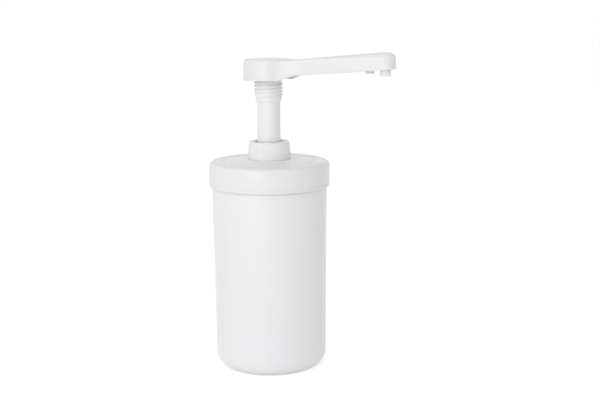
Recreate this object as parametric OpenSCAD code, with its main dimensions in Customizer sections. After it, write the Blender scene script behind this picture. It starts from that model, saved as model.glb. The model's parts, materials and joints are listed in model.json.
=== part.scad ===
// Detergent dispenser bottle: a wide round jar, a wide screw lid and a long-spout
// lotion-type pump on the lid. Millimetres, +Z up, the spout along +X.
// The origin is the centre of the jar's base, on the plane it stands on.

/* [Jar] */
// Outer radius of the jar's wall at the shoulder
jar_r = 57.35; // [50:0.05:64]
// How much narrower the wall is at the base
jar_taper = 1.6; // [0:0.1:2.5]
// Wall thickness of the jar
jar_wall = 1.6; // [1.2:0.1:2.2]
// Height of the shoulder that the neck stands on
shoulder_z = 183.7; // [170:0.1:215]
// Radius that joins the wall to the base
base_round = 15; // [10:0.5:20]
// Height of the hollow under the base
push_up = 2.4; // [1.5:0.1:3.5]
// Height of the neck above the shoulder
neck_h = 20.8; // [19.5:0.1:23]
// Step from the wall in to the neck
neck_inset = 2.2; // [2:0.1:2.8]
// Wall thickness of the neck
neck_wall = 2.2; // [1.6:0.1:3]
// Rise of the jar's thread in one turn
jar_pitch = 6; // [5:0.25:6.5]
// Turns of thread on the jar's neck
jar_turns = 1.25; // [1:0.05:1.4]

/* [Lid] */
// Distance the lid stands out beyond the jar's wall
lid_over = 3.1; // [3:0.05:4]
// Wall thickness of the lid's skirt
lid_wall = 2.8; // [2.4:0.1:3]
// Thickness of the lid's top
lid_top_t = 2.6; // [2.2:0.1:3.2]
// Radius on the lid's top edge
lid_round = 4.8; // [3.5:0.1:5.2]
// Gap between the lid's edge and the jar's shoulder
lid_gap = 0.6; // [0.4:0.1:1]
// Height of the lid's crown above its rim
crown_h = 2.3; // [1.6:0.1:3]
// Width of the crown's flat round the collar
crown_flat = 5.2; // [3:0.1:9]
// Distance from the rim's rounding in to the foot of the crown
rim_w = 10.6; // [8:0.1:12]
// Thickness of the sealing liner inside the lid
liner_t = 1.2; // [0.8:0.1:1.6]

/* [Pump neck and collar] */
// Wall thickness of the pump neck below its thread
pneck_wall = 1.55; // [1.3:0.05:2]
// Height of the pump neck above the crown
pneck_h = 10.8; // [10:0.1:12]
// Rise of the pump neck's thread in one turn
collar_pitch = 4.2; // [3.8:0.1:4.4]
// Turns of thread on the pump neck
collar_turns = 1.25; // [1:0.05:1.3]
// Wall thickness of the collar's lower band
collar_wall = 2.2; // [2:0.05:3.3]
// Ribs round the collar
collar_ribs = 60; // [40:2:72]
// Depth of the grooves between the ribs
rib_depth = 0.5; // [0.3:0.05:0.6]

/* [Pump] */
// Outer radius of the pump barrel
barrel_r = 15.6; // [14:0.05:17]
// Wall thickness of the pump barrel
barrel_wall = 1.2; // [1.1:0.05:1.25]
// Distance the head goes down in one stroke
stroke = 40; // [30:1:40]
// Width of the piston between the stem and the barrel
piston_w = 2.9; // [2.8:0.05:3.4]
// Height of the piston and its play on the stem
piston_h = 10.2; // [9:0.1:12]
// Wall thickness of the stem
stem_wall = 1.6; // [1.3:0.05:1.8]
// Radius of the valve balls
ball_r = 4.75; // [4.5:0.05:5]
// Lift of each valve ball off its seat
ball_lift = 3; // [2:0.1:3.5]
// Wire thickness of the return spring
wire_d = 1.6; // [1.2:0.1:1.7]
// Coils of the return spring
coils = 9.5; // [7:0.5:10.5]
// Length of the return spring when the head is down
spring_down = 22; // [18:0.5:30]
// Depth of the stem guide below the barrel's flange
guide_drop = 13.85; // [12:0.05:18]
// Height of the outlet plug above its flange
plug_h = 13.5; // [12:0.1:16]
// Height of the cone under the barrel's floor
cone_h = 8; // [6.5:0.1:12]
// Length of the dip tube's socket and the seat above it
socket_h = 12; // [9:0.1:20]
// Radius of the vent in the barrel
vent_r = 0.8; // [0.4:0.1:1]
// Outer radius of the dip tube
dip_r = 4.8; // [4.4:0.1:5.2]
// Wall thickness of the dip tube
dip_wall = 1.1; // [0.8:0.05:1.3]
// Height of the dip tube's mouth above the base
dip_z = 8; // [7:0.5:20]
// Distance from the pump neck's top to the bottom of the lock thread's sleeve
sleeve_gap = 45.1; // [44:0.1:50]
// Length of that sleeve below the head's drum
sleeve_h = 21.9; // [20:0.1:24]

/* [Head] */
// Outer radius of the head's drum at its open edge
drum_r = 25; // [24:0.1:27]
// Height of the head's drum
drum_h = 20.6; // [19.5:0.1:23]
// Wall thickness of the head
head_wall = 1.9; // [1.5:0.1:2.2]
// Radius on the head's top edges
head_round = 3.2; // [2.4:0.1:3.6]
// Distance from the stem's axis to the nozzle's axis
reach = 123; // [105:1:130]
// Half the spout's width where it leaves the drum
arm_w = 13.5; // [12.5:0.1:15]
// Half the width of the flare that joins the spout to the drum
flare_w = 19.5; // [16:0.1:21]
// Distance from the stem's axis to the flare's outer end
flare_x = 46; // [38:0.5:60]
// Radius of the spout's rounded end
tip_r = 10; // [9.8:0.1:11.5]
// Radius on the top edge of that end
tip_round = 7; // [4:0.1:7.5]
// Height of the spout's end
tip_h = 16.5; // [15.5:0.1:18]
// Height of the spout's end above the drum's top
tip_rise = 8; // [6:0.1:10]
// Rise of the spout's top over each millimetre of its length
arm_rise = 0.092; // [0.07:0.002:0.11]
// Rise of its open edge over each millimetre
edge_rise = 0.076; // [0.06:0.002:0.1]
// Outer radius of the nozzle
nozzle_r = 5.15; // [4.8:0.05:5.3]
// Depth of the nozzle's mouth below the spout's top
nozzle_drop = 22.3; // [20:0.1:25]
// Radius of the nozzle's bore
nozzle_bore = 3.4; // [2.8:0.1:3.6]

/* [Hidden] */
gap = 0.05;                     // between faces that rest on each other
run = 0.05;                     // radial clearance of a running fit

// Lid and jar neck
base_r = jar_r - jar_taper;
neck_r = jar_r - neck_inset;
land_z = shoulder_z + neck_h;
lid_r = jar_r + lid_over;
lid_in = lid_r - lid_wall;
lid_z = shoulder_z + lid_gap;
plate_z = land_z + liner_t + 2*gap;
lid_top = plate_z + lid_top_t;
crown_z = lid_top + crown_h;
crown_foot = lid_r - lid_round - rim_w;
jar_depth = (lid_in - neck_r)/2 + 0.3;      // both threads reach past the middle
jar_thread_z = shoulder_z + 5.4;

// Pump neck and collar
pneck_top = crown_z + pneck_h;
pneck_bore = barrel_r + 0.35;
pneck_r = pneck_bore + pneck_wall;
collar_z = crown_z + 0.5;
collar_in = pneck_r + 1.75;
collar_r = collar_in + collar_wall;
crown_r = collar_r + crown_flat;
collar_depth = 1.15;
collar_thread_z = crown_z + 3.4;
gasket_t = 1.2;
gasket_z = pneck_top + gap;
flange_z = gasket_z + gasket_t;
flange_r = collar_in - collar_depth - 0.3;
flange_t = 1.6;
snap_low = flange_z + 0.45;                 // the flange's snap bead, held by the cap
snap_in = barrel_r + 0.8;
snap_out = barrel_r + 1.4;
cap_z = flange_z + flange_t;
cap_t = 1.6;
lip_z = cap_z + cap_t + 0.1;
collar_top = lip_z + 2.05;
band_h = 5.9;

// Pump barrel and what moves in it
bore_r = barrel_r - barrel_wall;
stem_r = bore_r - piston_w;
guide_z = flange_z - guide_drop;
guide_h = 7;
bead_low = guide_z + 3;                     // the guide's snap bead and its groove
bead_high = bead_low + 1;
bead_r = bore_r + 0.3;
pocket_z = guide_z + guide_h - 2.6;         // the wiper's pocket
pocket_r = stem_r + 1.3;
bead_z = guide_z - 2.5;                     // stop bead on the stem
hub_z = bead_z - piston_h;                  // foot of the stem
piston_l = piston_h - 0.3;
ring_low = hub_z + piston_l/2 - 0.8;        // the piston ring's groove
ring_high = hub_z + piston_l/2 + 0.8;
ring_t = 1.1;
seat_top = hub_z - 0.1;                     // top face of the outlet seat's flange
spring_top = seat_top - 2.1;
spring_h = stroke + spring_down;
spring_z = spring_top - spring_h;
floor_z = spring_z - 7;
valve_z = floor_z - cone_h;
foot_z = valve_z - socket_h;
tube_top = valve_z - 2.2;                   // end of the dip tube in its socket
port_r = ball_r - 1.15;
ball_up = sqrt(ball_r*ball_r - port_r*port_r) + gap;
chamber_r = ball_r + 1.75;
stem_in = stem_r - stem_wall;
out_valve_z = seat_top + 5;

// Head and spout
sleeve_z = pneck_top + sleeve_gap;
sleeve_r = stem_r + 1.2;
thread_z = sleeve_z + 4.6;
lock_root = stem_r + 1.8;
lock_crest = stem_r + 2.8;
lock_pitch = 3.5;
boss_in = lock_crest + 0.45;                // bore of the cap that the lock thread screws into
drum_z = sleeve_z + sleeve_h;               // the drum's open edge
drum_top = drum_z + drum_h;
drum_top_r = drum_r - 0.8;
stem_top = drum_top - 12.6;                 // end of the stem in its socket
arm_x = 14;                                 // axis of the spout's inner end
arm_deep = tip_rise + drum_h;               // the slab's depth before it is cut open
tip_top = drum_top + tip_rise;
latch_x = reach - 19;
edge_x = drum_r - 3.5;                      // where the open edge leaves the drum's
edge_w = 22;
duct_drop = 9.6;                            // depth of the duct's axis below the top
duct_z = drum_top - duct_drop;
duct_end = tip_top - duct_drop;
duct_r = 4.6;
duct_in = 3.3;
duct_tilt = atan((duct_end - duct_z)/reach);
nozzle_z = tip_top - nozzle_drop;

// Top and half width of the spout, and the radius on its top edge.
function arm_top(x) = tip_top - (reach - tip_r + tip_round - x)*arm_rise;
function arm_half(x) = arm_w + (tip_r - arm_w)*(x - arm_x)/(reach - arm_x);
function arm_round(x) = head_round + (tip_round - head_round)*(x - arm_x)/(reach - arm_x);

// Open edge of the head: it sweeps up from the drum's edge to the spout's.
function edge(x) = tip_top - tip_h - (reach - x)*edge_rise;
function skirt(x) = drum_z + (edge(x) - drum_z)*sin(90*min(1, max(0, (x - edge_x)/edge_w)));

// A ring of rectangular section: radii from a to b, heights from z0 to z1.
module band(a, b, z0, z1) {
    translate([a, z0]) square([b - a, z1 - z0]);
}

// The same from the axis out to radius r, with its lower outer corner rounded.
module rounded_foot(r, z0, z1, round) {
    difference() {
        band(0, r, z0, z1);
        difference() {
            band(r - round, r + 1, z0 - 1, z0 + round);
            translate([r - round, z0 + round]) circle(round, $fn = 96);
        }
    }
}

// The same with its upper outer corner rounded.
module rounded_top(r, z0, z1, round) {
    difference() {
        band(0, r, z0, z1);
        difference() {
            band(r - round, r + 1, z1 - round, z1 + 1);
            translate([r - round, z1 - round]) circle(round, $fn = 48);
        }
    }
}

// A half section turned round the Z axis.
module turned(fn = 96) {
    rotate_extrude($fn = fn) children();
}

// Sections of a thread ridge. It rises by pitch in one turn, its base is buried 0.4 in the
// wall at radius r, its crest stands out by d (inwards where d is negative), and it fades
// into the wall over its first and last 24 degrees.
function ridge_point(r, d, w, c, a, z, f, k) =
    let (s = d > 0 ? 1 : -1, foot = r - 0.4*s, top = r - 0.15*s + (d + 0.15*s)*f,
        q = [[foot, -w/2], [top, -c/2], [top, c/2], [foot, w/2]][k])
    [q[0]*cos(a), q[0]*sin(a), z + q[1]];

module ridge(r, d, pitch, turns, z, w, c, steps, start = 0) {
    n = ceil(steps*turns);
    da = 360*turns/n;
    pts = [for (i = [0:n], k = [0:3])
        ridge_point(r, d, w, c, start + i*da, z + pitch*i*da/360,
            min(1, min(i, n - i)*da/24), k)];
    sides = [for (i = [0:n - 1], k = [0:3])
        let (a = 4*i + k, b = 4*i + (k + 1)%4) [[a, a + 4, b], [b, a + 4, b + 4]]];
    faces = concat([for (s = sides, t = s) t], [[0, 1, 2], [0, 2, 3]],
        [[4*n + 2, 4*n + 1, 4*n], [4*n + 3, 4*n + 2, 4*n]]);
    polyhedron(points = pts, faces = d < 0 ? faces : [for (t = faces) [t[2], t[1], t[0]]]);
}

// Blow-moulded jar with a rounded base edge, a hollow base and a threaded neck.
module jar() {
    color([0.94, 0.94, 0.96]) {
        turned(160) difference() {
            union() {
                rounded_foot(base_r, 0, base_round + 1, base_round);
                polygon([[0, base_round], [base_r, base_round], [jar_r, shoulder_z - 10],
                    [0, shoulder_z - 10]]);
                rounded_top(jar_r, shoulder_z - 12, shoulder_z, 1);
                rounded_top(neck_r, shoulder_z - 4, land_z, 0.8);
            }
            // inside, over the hollow of the base
            difference() {
                union() {
                    rounded_foot(base_r - jar_wall, jar_wall, base_round + 1,
                        base_round - jar_wall);
                    polygon([[0, base_round], [base_r - jar_wall, base_round],
                        [jar_r - jar_wall, shoulder_z - 10], [jar_r - jar_wall, shoulder_z - 4],
                        [0, shoulder_z - 4]]);
                }
                polygon([[0, 0], [base_r - base_round - 1, 0],
                    [base_r - base_round - 5, push_up + jar_wall], [0, push_up + jar_wall]]);
            }
            polygon([[0, shoulder_z - 6], [jar_r - jar_wall, shoulder_z - 6],
                [jar_r - jar_wall, shoulder_z - 4], [neck_r - neck_wall, shoulder_z - 2.2],
                [neck_r - neck_wall, land_z + 1], [0, land_z + 1]]);
            // hollow under the base
            polygon([[0, -1], [base_r - base_round - 3, -1], [base_r - base_round - 3, 0],
                [base_r - base_round - 7, push_up], [0, push_up]]);
        }
        ridge(neck_r, jar_depth, jar_pitch, jar_turns, jar_thread_z, 3, 1.4, 48);
    }
}

// Foam liner that seals the lid on the neck's land.
module lid_liner() {
    color([0.86, 0.87, 0.88])
        turned() band(neck_r - neck_wall - 1.5, neck_r + 1, land_z + gap, plate_z - gap);
}

// Wide screw lid with a low stepped crown and the threaded neck of the pump.
module lid() {
    color([0.95, 0.95, 0.95]) {
        turned(160) difference() {
            union() {
                difference() {
                    rounded_top(lid_r, lid_z + 0.6, lid_top, lid_round);
                    band(0, lid_in, lid_z, plate_z);
                    band(0, pneck_bore, plate_z - 1, lid_top + 1);
                }
                band(lid_in, lid_r - 0.6, lid_z, lid_z + 2);
                translate([lid_r - 0.6, lid_z + 0.6]) circle(0.6, $fn = 24);
                // crown: a gentle cone up to a flat
                polygon([[pneck_bore, lid_top - 1], [crown_foot, lid_top - 1],
                    [crown_foot, lid_top + 0.2], [crown_r + 1, crown_z - 0.5],
                    [crown_r, crown_z], [pneck_bore, crown_z]]);
                // pump neck
                difference() {
                    rounded_top(pneck_r, crown_z - 1, pneck_top, 0.5);
                    band(0, pneck_bore, crown_z - 2, pneck_top + 1);
                }
            }
            // grooves: round the crown's foot, round the rim and round the skirt
            translate([crown_foot + 1.2, lid_top + 1.1]) circle(1.9, $fn = 48);
            translate([lid_r - lid_round - 0.6, lid_top + 1.2]) circle(1.6, $fn = 40);
            translate([lid_r + 0.25, lid_z + 2.9]) circle(0.7, $fn = 24);
        }
        // seal skirt inside the neck
        turned() band(neck_r - neck_wall - 3.2, neck_r - neck_wall - 1.9, plate_z - 3,
            plate_z + 0.5);
        ridge(lid_in, -jar_depth, jar_pitch, 1, jar_thread_z - jar_pitch*0.37, 3, 1.4, 48);
        ridge(pneck_r, collar_depth, collar_pitch, collar_turns, collar_thread_z, 2.1, 0.9, 36);
    }
}

// Washer between the pump barrel's flange and the pump neck.
module neck_gasket() {
    color([0.8, 0.81, 0.82])
        turned() band(barrel_r, flange_r - 0.6, gasket_z, flange_z);
}

// Screw collar: a tapered ribbed wall over a wider band, and a rounded lip at the top.
module collar() {
    h = collar_top - collar_z;
    wall_r = collar_r - 0.45;
    top_r = wall_r - 0.75;
    slope = atan((wall_r - top_r)/(h - band_h));
    color([0.95, 0.95, 0.94]) {
        difference() {
            turned() difference() {
                union() {
                    band(0, collar_r, collar_z, collar_z + band_h);
                    polygon([[0, collar_z], [wall_r, collar_z + band_h - 1],
                        [wall_r, collar_z + band_h], [top_r, collar_top - 1.4],
                        [0, collar_top - 1.4]]);
                    rounded_top(top_r, collar_top - 1.6, collar_top, 1.4);
                }
                band(-1, collar_in, collar_z - 1, lip_z);
                band(-1, barrel_r + 1.3, collar_z - 1, collar_top + 1);
            }
            for (i = [0:collar_ribs - 1])
                rotate(i*360/collar_ribs)
                    translate([wall_r, 0, collar_z + band_h])
                    rotate([0, -slope, 0]) translate([0, 0, -band_h - 1])
                    linear_extrude(h - 1.2)
                        polygon([[-rib_depth, -0.12], [1, -0.9], [1, 0.9], [-rib_depth, 0.12]]);
        }
        ridge(collar_in, -collar_depth, collar_pitch, 1,
            collar_thread_z - collar_pitch*0.4, 2.1, 0.9, 36);
    }
}

// Pump barrel: a flanged tube, a conical floor with the inlet seat, and the tube socket.
module barrel() {
    color([0.9, 0.91, 0.92]) difference() {
        turned() difference() {
            polygon([[0, foot_z], [dip_r + 1.8, foot_z], [dip_r + 1.8, valve_z - 2],
                [chamber_r + 1.6, valve_z], [chamber_r + 1.6, valve_z + 1],
                [barrel_r, floor_z - 1.5], [barrel_r, flange_z], [snap_in, flange_z],
                [snap_in, snap_low], [snap_out, snap_low], [snap_out, cap_z], [0, cap_z]]);
            band(-1, bore_r, floor_z, cap_z + 1);
            // groove for the guide's snap bead
            band(0, bead_r, bead_low, bead_high);
            // ball chamber, seat and socket
            band(-1, chamber_r, valve_z + chamber_r - port_r, floor_z + 1);
            polygon([[-1, valve_z], [port_r, valve_z],
                [chamber_r, valve_z + chamber_r - port_r],
                [-1, valve_z + chamber_r - port_r]]);
            band(-1, port_r, valve_z - 3, valve_z + 1);
            band(-1, dip_r, foot_z - 1, tube_top);
        }
        // vent that lets air into the jar above the piston
        translate([0, bore_r - 1, bead_z + 1.2]) rotate([-90, 0, 0])
            cylinder(r = vent_r, h = barrel_wall + 2, $fn = 24);
    }
}

// Cap snapped over the barrel's flange, with the female lock thread in its boss.
module barrel_cap() {
    color([0.93, 0.93, 0.92]) {
        turned() difference() {
            union() {
                band(boss_in, flange_r, flange_z, cap_z + cap_t);
                band(boss_in, barrel_r + 1, cap_z, collar_top - 0.1);
            }
            band(0, snap_in, flange_z - 1, cap_z);
            band(0, snap_out, snap_low, cap_z);
            polygon([[lock_crest, collar_top - 1], [boss_in, collar_top - 1],
                [boss_in + 0.8, collar_top], [lock_crest, collar_top]]);
        }
        ridge(boss_in, -0.85, lock_pitch, 0.6, cap_z + 0.9, 1.4, 0.5, 30);
    }
}

// Guide ring snapped into the barrel round the stem, with a pocket for the wiper.
module stem_guide() {
    color([0.92, 0.92, 0.9])
        turned() difference() {
            union() {
                band(stem_r + run, bore_r, guide_z, guide_z + guide_h);
                band(stem_r + 1, bead_r, bead_low, bead_high);
            }
            band(0, stem_r + 0.5, guide_z + 2.4, guide_z + guide_h + 1);
            band(0, pocket_r, pocket_z, guide_z + guide_h + 1);
        }
}

// Soft lip ring that wipes the stem.
module stem_wiper() {
    color([0.55, 0.57, 0.6])
        turned() polygon([[stem_r + run, guide_z + guide_h - 0.4],
            [stem_r + 0.5, guide_z + guide_h - 1.4], [stem_r + 0.5, pocket_z],
            [pocket_r, pocket_z], [pocket_r, guide_z + guide_h - 0.3],
            [stem_r + 0.5, guide_z + guide_h - 0.1]]);
}

// Spring seat on the barrel's floor, with a cross that keeps the inlet ball in its chamber.
module ball_cage() {
    stop = valve_z + ball_up + ball_r + ball_lift + 0.1;
    color([0.92, 0.92, 0.92]) {
        turned() difference() {
            union() {
                band(chamber_r, bore_r, floor_z, floor_z + 1.6);
                band(chamber_r, chamber_r + 1.4, floor_z, spring_z + 2.5);
                band(chamber_r, bore_r - 0.3, spring_z - 1.6, spring_z);
            }
        }
        // windows stand between eight webs under the spring's seat
        for (a = [0:45:315])
            rotate(a) translate([chamber_r + 0.7, -0.6, floor_z + 1])
                cube([bore_r - 1.4 - chamber_r, 1.2, spring_z - floor_z - 2]);
        for (a = [0, 90])
            rotate(a) translate([-chamber_r - 0.7, -0.8, stop])
                cube([2*chamber_r + 1.4, 1.6, spring_z + 2.5 - stop]);
    }
}

// Inlet valve ball on its seat.
module inlet_ball() {
    color([0.62, 0.63, 0.65])
        translate([0, 0, valve_z + ball_up]) sphere(ball_r, $fn = 48);
}

// Suction tube down to the jar's base.
module dip_tube() {
    color([0.93, 0.93, 0.93])
        turned(64) band(dip_r - dip_wall, dip_r, dip_z, tube_top);
}

// Return spring with flat-lying end coils.
module spring() {
    m = bore_r - 1.5 - wire_d/2;
    n = ceil(coils*20);
    z0 = spring_z + wire_d/2;
    span = spring_h - wire_d;
    function rise(t) = let (e = 1/coils) t < e ? wire_d/span*t/e :
        t > 1 - e ? 1 - wire_d/span*(1 - t)/e :
        wire_d/span + (1 - 2*wire_d/span)*(t - e)/(1 - 2*e);
    pts = [for (i = [0:n], k = [0:7])
        let (a = 360*coils*i/n, b = 45*k + 22.5, q = m + wire_d/2*cos(b))
        [q*cos(a), q*sin(a), z0 + span*rise(i/n) + wire_d/2*sin(b)]];
    faces = concat([for (i = [0:n - 1], k = [0:7])
            let (a = 8*i + k, b = 8*i + (k + 1)%8) [b, a + 8, a]],
        [for (i = [0:n - 1], k = [0:7])
            let (a = 8*i + k, b = 8*i + (k + 1)%8) [b + 8, a + 8, b]],
        [[for (k = [7:-1:0]) k]], [[for (k = [0:7]) 8*n + k]]);
    color([0.7, 0.71, 0.73]) polyhedron(points = pts, faces = faces);
}

// Piston with a sealing lip at each end and a groove for its ring.
module piston() {
    r = bore_r - run;
    h = piston_l;
    color([0.88, 0.89, 0.9])
        turned() difference() {
            polygon([[stem_r + run, hub_z + 0.1], [stem_r + 1.1, hub_z + 0.1],
                [stem_r + 1.5, hub_z + 2], [r - 0.5, hub_z + 0.1], [r, hub_z + 0.1],
                [r - 0.3, hub_z + 3], [r - 0.3, hub_z + h - 3], [r, hub_z + h],
                [r - 0.5, hub_z + h], [stem_r + 1.5, hub_z + h - 2],
                [stem_r + 1.1, hub_z + h], [stem_r + run, hub_z + h]]);
            band(r - ring_t, r + 1, ring_low, ring_high);
        }
}

// Soft ring in the piston's groove.
module piston_ring() {
    color([0.3, 0.31, 0.33])
        turned() band(bore_r - run - ring_t, bore_r - run, ring_low, ring_high);
}

// Hollow stem with the bead that stops it under the guide.
module stem() {
    color([0.95, 0.95, 0.95])
        turned() difference() {
            union() {
                band(stem_in, stem_r, hub_z, stem_top);
                band(stem_in, stem_r + 1.5, bead_z, bead_z + 2);
            }
            polygon([[stem_in, stem_top], [stem_in, stem_top - 0.8],
                [stem_in + 0.7, stem_top]]);
        }
}

// Plug in the stem's foot: it carries the piston and holds the outlet seat.
module outlet_seat() {
    color([0.9, 0.9, 0.88])
        turned() difference() {
            union() {
                band(0, stem_in, seat_top - 1, seat_top + plug_h);
                band(0, stem_r + 1.5, spring_top, seat_top);
                band(0, stem_r - 1.8, spring_top - 2, seat_top);
            }
            band(-1, port_r, spring_top - 3, out_valve_z + 1);
            polygon([[-1, out_valve_z], [port_r, out_valve_z],
                [chamber_r, out_valve_z + chamber_r - port_r],
                [-1, out_valve_z + chamber_r - port_r]]);
            band(-1, chamber_r, out_valve_z + chamber_r - port_r, seat_top + plug_h + 1);
        }
}

// Outlet valve ball on its seat.
module outlet_ball() {
    color([0.62, 0.63, 0.65])
        translate([0, 0, out_valve_z + ball_up]) sphere(ball_r, $fn = 48);
}

// Ring and cross that keep the outlet ball in its chamber.
module outlet_cage() {
    z = out_valve_z + ball_up + ball_r + ball_lift + 0.1;
    color([0.92, 0.92, 0.92]) {
        turned(64) band(stem_in - 1.4, stem_in, z, z + 3);
        for (a = [0, 90])
            rotate(a) translate([1.2 - stem_in, -0.8, z]) cube([2*stem_in - 2.4, 1.6, 2]);
    }
}

// Socket sleeve with the lock thread, the duct along the spout and the nozzle.
module spout() {
    color([0.94, 0.94, 0.94]) {
        difference() {
            union() {
                turned() {
                    polygon([[stem_r - 1, sleeve_z], [stem_r + 0.1, sleeve_z],
                        [sleeve_r, sleeve_z + 1.9], [sleeve_r, thread_z],
                        [lock_root, thread_z + 0.4], [lock_root, drum_top - head_wall - 0.3],
                        [0, drum_top - head_wall - 0.3], [0, stem_top],
                        [stem_r - 1, stem_top]]);
                }
                translate([0, 0, duct_z]) rotate([0, 90 - duct_tilt, 0])
                    cylinder(r = duct_r, h = reach/cos(duct_tilt), $fn = 64);
                translate([reach, 0, duct_end]) sphere(duct_r + 0.3, $fn = 64);
                translate([reach, 0, nozzle_z])
                    cylinder(r = nozzle_r, h = duct_end - nozzle_z, $fn = 64);
                translate([reach, 0, nozzle_z + 5.5])
                    cylinder(r = nozzle_r + 0.6, h = duct_end - nozzle_z - 5.5, $fn = 64);
                // latch under the duct
                translate([latch_x, -3.5, edge(latch_x) - 2.1])
                    cube([6.5, 7, 8]);
            }
            translate([0, 0, sleeve_z - 1])
                cylinder(r = stem_r, h = stem_top - sleeve_z + 1, $fn = 96);
            translate([0, 0, stem_top - 0.4])
                cylinder(r = stem_in, h = 9.5, $fn = 96);
            translate([0, 0, duct_z]) rotate([0, 90 - duct_tilt, 0])
                cylinder(r = duct_in, h = reach/cos(duct_tilt), $fn = 64);
            translate([reach, 0, duct_end]) sphere(duct_in + 0.2, $fn = 64);
            translate([reach, 0, nozzle_z - 1])
                cylinder(r = nozzle_bore, h = duct_end - nozzle_z + 1, $fn = 64);
            translate([latch_x + 2.2, -5, edge(latch_x) - 2.6])
                cube([2.2, 10, 1.4]);
        }
        ridge(lock_root, lock_crest - lock_root, lock_pitch,
            (drum_z - 1.2 - thread_z - 1.4)/lock_pitch, thread_z + 1.4, 1.8, 0.6, 48, -100);
    }
}

// One end of the spout's slab: a disc with a rounded top edge, its top at the origin.
module button(r, round, h) {
    rotate_extrude($fn = 40) difference() {
        band(0, r, -h, 0);
        difference() {
            band(r - round, r + 1, -round, 1);
            translate([r - round, -round]) circle(round, $fn = 24);
        }
    }
}

// A rounded bar between two such ends, its walls set in by t.
module bar(x1, w1, x2, w2, t) {
    hull()
        for (e = [[x1, w1, arm_round(x1)], [x2, w2, arm_round(x2)]])
            translate([e[0], 0, arm_top(e[0] - e[1] + e[2]) - t])
                button(e[1] - t, e[2] - t*0.6, arm_deep);
}

// The spout, which narrows to the tip, and the flare where it leaves the drum.
module slab(t) {
    bar(arm_x, arm_w, reach, tip_r, t);
    bar(8, flare_w, flare_x, arm_half(flare_x), t);
}

// Head: a round drum over the sleeve and a long spout cover, both open underneath.
module head_shell() {
    ceiling = drum_top - head_wall;
    color([0.95, 0.95, 0.95]) {
        difference() {
            union() {
                turned() {
                    polygon([[0, drum_z], [drum_r, drum_z],
                        [drum_top_r, drum_top - head_round], [0, drum_top - head_round]]);
                    rounded_top(drum_top_r, drum_top - head_round - 0.5, drum_top, head_round);
                }
                difference() {
                    slab(0);
                    // open edge of the spout cover
                    rotate([90, 0, 0]) linear_extrude(2*arm_deep, center = true)
                        polygon(concat([[-arm_deep, drum_z - arm_deep],
                            [reach + arm_deep, drum_z - arm_deep],
                            [reach + arm_deep, edge(reach + arm_deep)]],
                            [for (i = [12:-1:0]) let (x = edge_x + edge_w*i/12) [x, skirt(x)]],
                            [[-arm_deep, drum_z]]));
                }
            }
            turned() polygon([[0, drum_z - 1], [drum_r - head_wall, drum_z - 1],
                [drum_r - head_wall, drum_z], [drum_top_r - head_wall, ceiling - 1.5],
                [drum_top_r - head_wall - 1.5, ceiling], [0, ceiling]]);
            slab(head_wall);
        }
        // ring and ribs that hold the sleeve, with a slot for the duct
        difference() {
            turned() band(lock_root, lock_root + 1.5, ceiling - 6, ceiling + 0.5);
            translate([0, -duct_r - 0.3, ceiling - 7]) cube([lock_root + 3, 2*duct_r + 0.6, 7]);
        }
        for (a = [45:90:315])
            rotate(a) translate([lock_root + 1, -0.6, ceiling - 5])
                cube([drum_top_r - head_wall - lock_root - 0.6, 1.2, 5.5]);
    }
}

jar();
lid_liner();
lid();
neck_gasket();
collar();
barrel();
barrel_cap();
stem_guide();
stem_wiper();
ball_cage();
inlet_ball();
dip_tube();
spring();
piston();
piston_ring();
stem();
outlet_seat();
outlet_ball();
outlet_cage();
spout();
head_shell();
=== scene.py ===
import json
from math import atan2, cos, degrees, hypot, pi, radians, sin, tan

import bmesh
import bpy
from mathutils import Matrix, Vector


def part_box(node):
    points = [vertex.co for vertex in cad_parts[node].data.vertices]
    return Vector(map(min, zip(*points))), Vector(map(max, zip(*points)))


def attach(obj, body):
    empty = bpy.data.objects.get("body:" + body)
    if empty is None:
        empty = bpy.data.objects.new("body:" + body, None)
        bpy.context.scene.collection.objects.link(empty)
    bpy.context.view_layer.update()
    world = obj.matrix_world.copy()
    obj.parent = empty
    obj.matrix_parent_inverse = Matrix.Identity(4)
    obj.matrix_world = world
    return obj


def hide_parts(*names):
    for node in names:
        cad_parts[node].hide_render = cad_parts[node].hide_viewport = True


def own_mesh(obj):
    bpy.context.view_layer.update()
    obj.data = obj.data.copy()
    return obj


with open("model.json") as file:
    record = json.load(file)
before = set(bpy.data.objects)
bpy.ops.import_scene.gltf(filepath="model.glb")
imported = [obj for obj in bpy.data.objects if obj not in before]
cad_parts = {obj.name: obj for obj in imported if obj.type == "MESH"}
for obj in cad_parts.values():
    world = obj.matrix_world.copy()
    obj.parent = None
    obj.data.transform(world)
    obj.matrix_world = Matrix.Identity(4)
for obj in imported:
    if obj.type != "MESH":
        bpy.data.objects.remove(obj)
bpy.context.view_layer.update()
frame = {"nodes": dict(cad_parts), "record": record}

nodes = frame["nodes"]
mm = 0.001
up = Vector((0, 0, 1))


def topOf(node):
    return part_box(node)[1].z / mm


def footOf(node):
    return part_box(node)[0].z / mm


def radiusOf(node):
    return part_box(node)[1].y / mm


def pickNothing():
    if bpy.context.mode != "OBJECT":
        bpy.ops.object.mode_set(mode="OBJECT")
    bpy.ops.object.select_all(action="DESELECT")


def takeUp(piece, *others):
    # the piece becomes active, and it and the others are all that is selected
    pickNothing()
    for other in others:
        other.select_set(True)
    piece.select_set(True)
    bpy.context.view_layer.objects.active = piece


def editPiece(piece):
    takeUp(piece)
    bpy.ops.object.mode_set(mode="EDIT")
    bpy.ops.mesh.select_all(action="DESELECT")


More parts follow.
